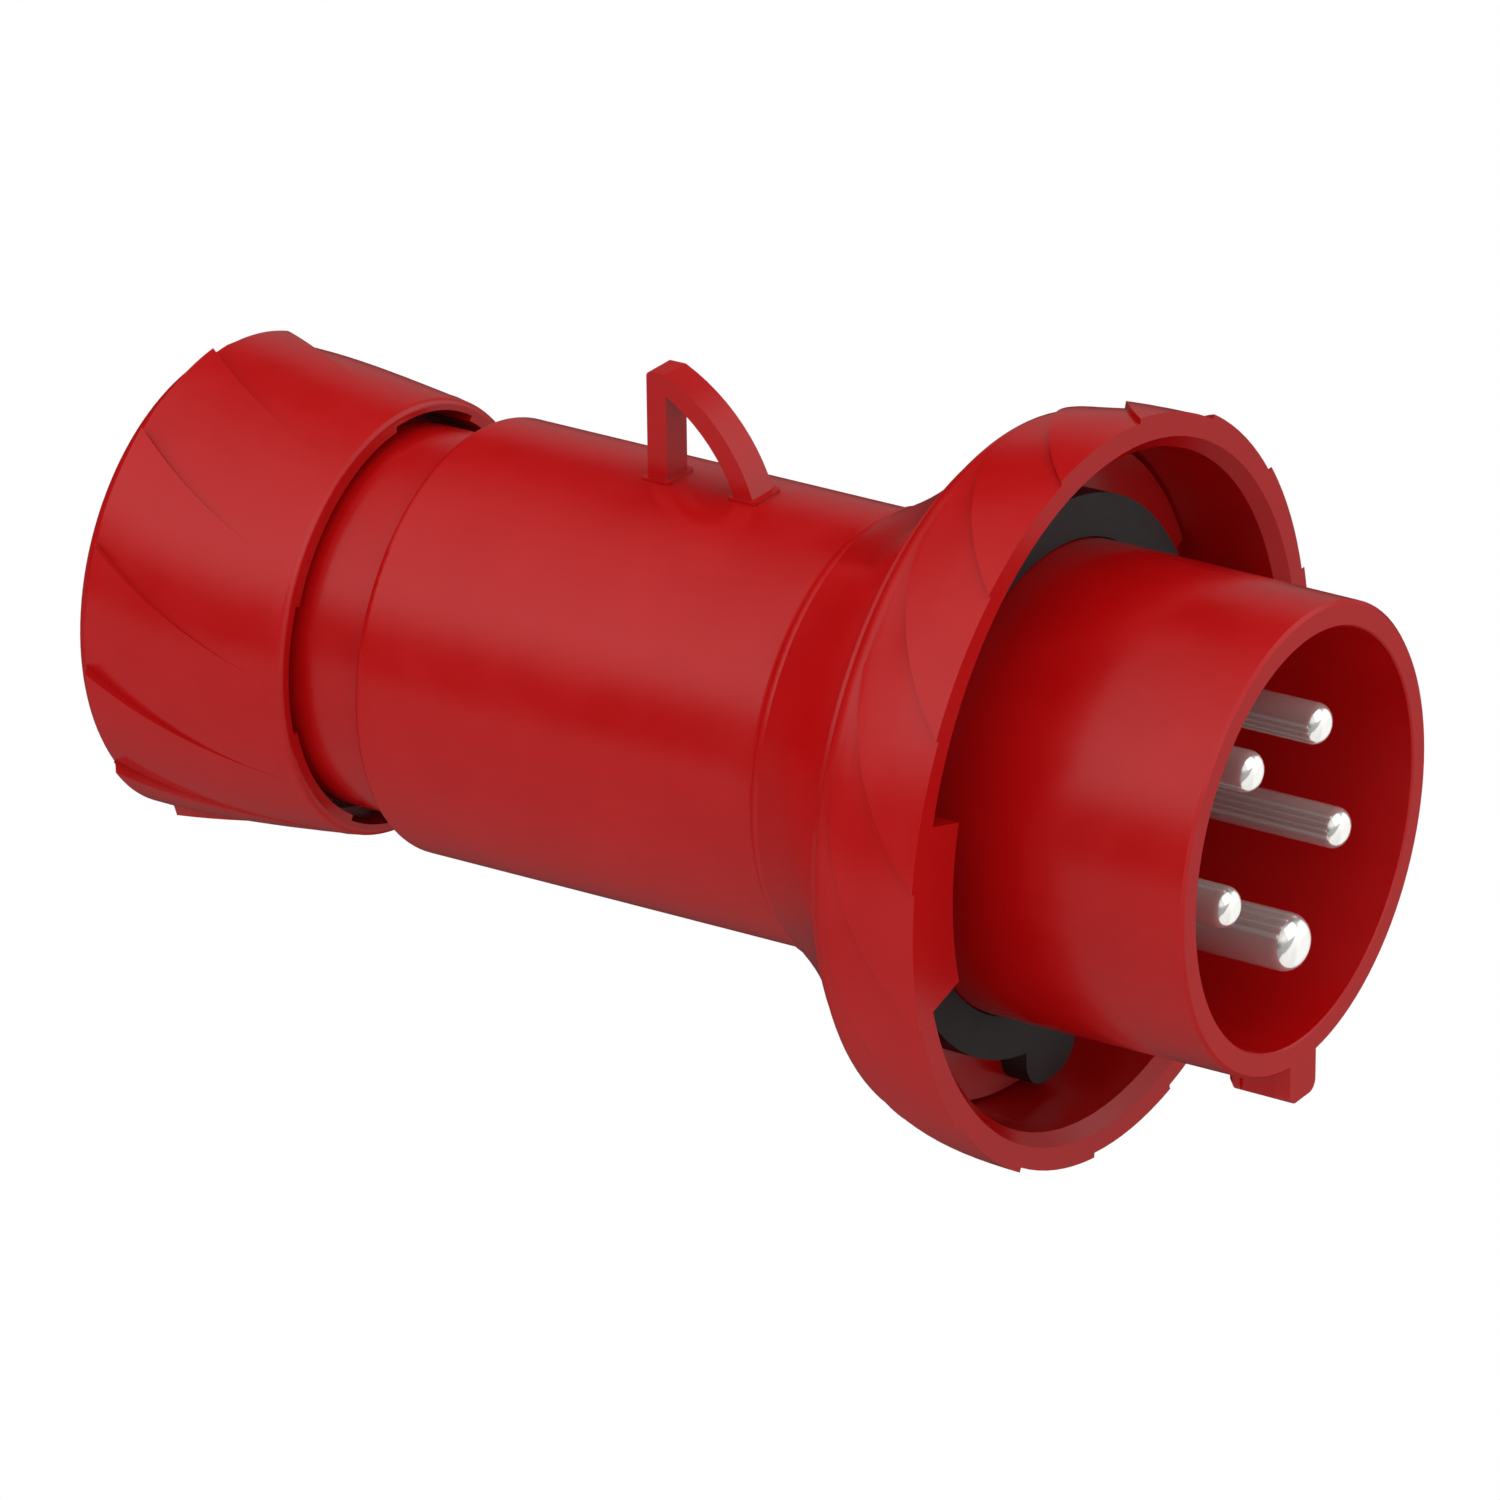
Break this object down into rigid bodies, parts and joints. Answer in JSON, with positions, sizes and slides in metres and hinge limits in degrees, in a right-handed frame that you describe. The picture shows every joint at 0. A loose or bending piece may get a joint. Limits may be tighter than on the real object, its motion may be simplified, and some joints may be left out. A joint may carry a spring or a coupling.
{
  "type": "industrial pin and sleeve plug",
  "caption": "Watertight industrial plug: round pins inside a keyed shroud, turning locking ring, flared handle with hanging loop, and a screwed cable gland.",
  "frame": {"origin": "on the plug's axis, in the plane of the gland nut's rear face on which it stands", "axes": "+Z along the plug towards the contacts, hanging loop towards -Y, earth pin and key towards +Y"},
  "size_m": [0.0912, 0.0912, 0.1563],
  "materials": {
    "red_polyamide": "satin moulded red polyamide",
    "grey_polyamide": "moulded glass-filled polyamide, dark grey",
    "natural_acetal": "smooth natural acetal",
    "black_rubber": "moulded elastomer, matt",
    "nickel_plated_brass": "turned brass with bright nickel plating",
    "zinc_plated_steel": "zinc plated steel"
  },
  "bodies": {
    "plug_body": {"front_housing": "red_polyamide", "contact_carrier": "grey_polyamide", "carrier_cap": "grey_polyamide", "carrier_screw_left": "zinc_plated_steel", "carrier_screw_right": "zinc_plated_steel", "flange_gasket": "black_rubber", "handle_body": "red_polyamide", "housing_seal": "black_rubber", "clamp_basket": "grey_polyamide", "gland_seal": "black_rubber", "pin_earth": "nickel_plated_brass", "terminal_screw_earth": "zinc_plated_steel", "pin_l1": "nickel_plated_brass", "terminal_screw_l1": "zinc_plated_steel", "pin_l2": "nickel_plated_brass", "terminal_screw_l2": "zinc_plated_steel", "pin_l3": "nickel_plated_brass", "terminal_screw_l3": "zinc_plated_steel", "pin_neutral": "nickel_plated_brass", "terminal_screw_neutral": "zinc_plated_steel"},
    "ring": {"locking_ring": "red_polyamide"},
    "washer": {"thrust_washer": "natural_acetal"},
    "nut": {"gland_nut": "red_polyamide"}
  },
  "joints": [
    {"name": "locking_ring_turn", "type": "hinge", "parent": "plug_body", "child": "ring", "pos_m": [0, 0, 0.123], "axis": [0, 0, 1], "range_deg": [0, 50]},
    {"name": "washer_travel", "type": "slide", "parent": "plug_body", "child": "washer", "axis": [0, 0, -1], "range_m": [0, 0.006]},
    {"name": "gland_nut_turn", "type": "hinge", "parent": "washer", "child": "nut", "pos_m": [0, 0, 0.016], "axis": [0, 0, -1], "range_deg": [0, 720]}
  ],
  "couplings": [
    {"joint": "washer_travel", "follows": "gland_nut_turn", "m_per_rad": 0.000477}
  ]
}
